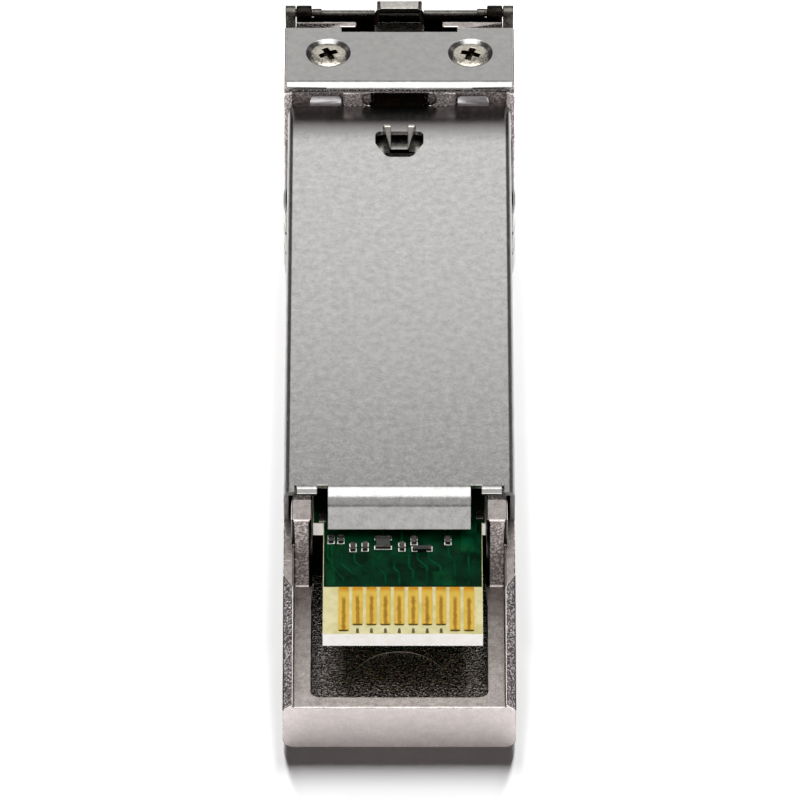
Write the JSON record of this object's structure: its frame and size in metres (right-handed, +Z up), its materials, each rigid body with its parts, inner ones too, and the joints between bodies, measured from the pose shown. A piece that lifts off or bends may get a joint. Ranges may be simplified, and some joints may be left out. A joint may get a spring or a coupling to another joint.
{
  "type": "sfp plus transceiver module",
  "caption": "Pluggable fibre transceiver module with a cast housing, sheet cover, edge connector board, latch lever and release bail, lying latch side up.",
  "frame": {"origin": "middle of the face it lies on, below the centre of its box", "axes": "+Y from the rear edge connector to the fibre sockets, +Z up to the latch side, +X to the right seen from the rear"},
  "size_m": [0.0138, 0.0564, 0.0104],
  "materials": {
    "cast_zinc": "nickel-plated zinc die casting, fine grain",
    "cover_sheet": "satin nickel-plated sheet",
    "plate_sheet": "satin nickel-plated sheet",
    "screw_steel": "bright plated screw",
    "lever_steel": "plated stamping",
    "spring_leaf": "spring steel strip",
    "bail_steel": "plated wire",
    "spring_sheet": "thin spring sheet",
    "board_mask": "green solder mask on glass laminate",
    "contact_gold": "hard gold plating",
    "chip_ceramic": "ceramic chip",
    "chip_resistive": "dark glazed chip",
    "package_resin": "moulded resin package",
    "turned_steel": "turned stainless steel",
    "can_steel": "plated can",
    "white_ceramic": "ground zirconia",
    "amber_film": "polyimide film",
    "clamp_plastic": "moulded plastic"
  },
  "bodies": {
    "module": {"housing": "cast_zinc", "bottom_cover": "cover_sheet", "latch_plate": "plate_sheet", "plate_screws": "screw_steel", "latch_spring": "spring_leaf", "emi_spring_left": "spring_sheet", "emi_spring_right": "spring_sheet", "circuit_board": "board_mask", "edge_contacts_bottom": "contact_gold", "edge_contacts_top": "contact_gold", "chip_capacitors": "chip_ceramic", "chip_resistors": "chip_resistive", "controller_chip": "package_resin", "driver_chip": "package_resin", "amplifier_chip": "package_resin", "transmitter_barrel": "turned_steel", "receiver_barrel": "turned_steel", "transmitter_can": "can_steel", "receiver_can": "can_steel", "transmitter_sleeve": "white_ceramic", "receiver_sleeve": "white_ceramic", "transmitter_flex": "amber_film", "receiver_flex": "amber_film", "optics_clamp": "clamp_plastic"},
    "lever": {"latch_lever": "lever_steel"},
    "bail": {"bail": "bail_steel"}
  },
  "joints": [
    {"name": "bail_swing", "type": "hinge", "parent": "module", "child": "bail", "pos_m": [0, 0.02665, 0.0097], "axis": [1, 0, 0], "range_deg": [0, 90]},
    {"name": "lever_tilt", "type": "hinge", "parent": "module", "child": "lever", "pos_m": [0, 0.02105, 0.00935], "axis": [1, 0, 0], "range_deg": [0, 7.9], "deforming": ["latch_spring"]}
  ],
  "couplings": [
    {"joint": "lever_tilt", "follows": "bail_swing", "ratio": 0.0868}
  ]
}
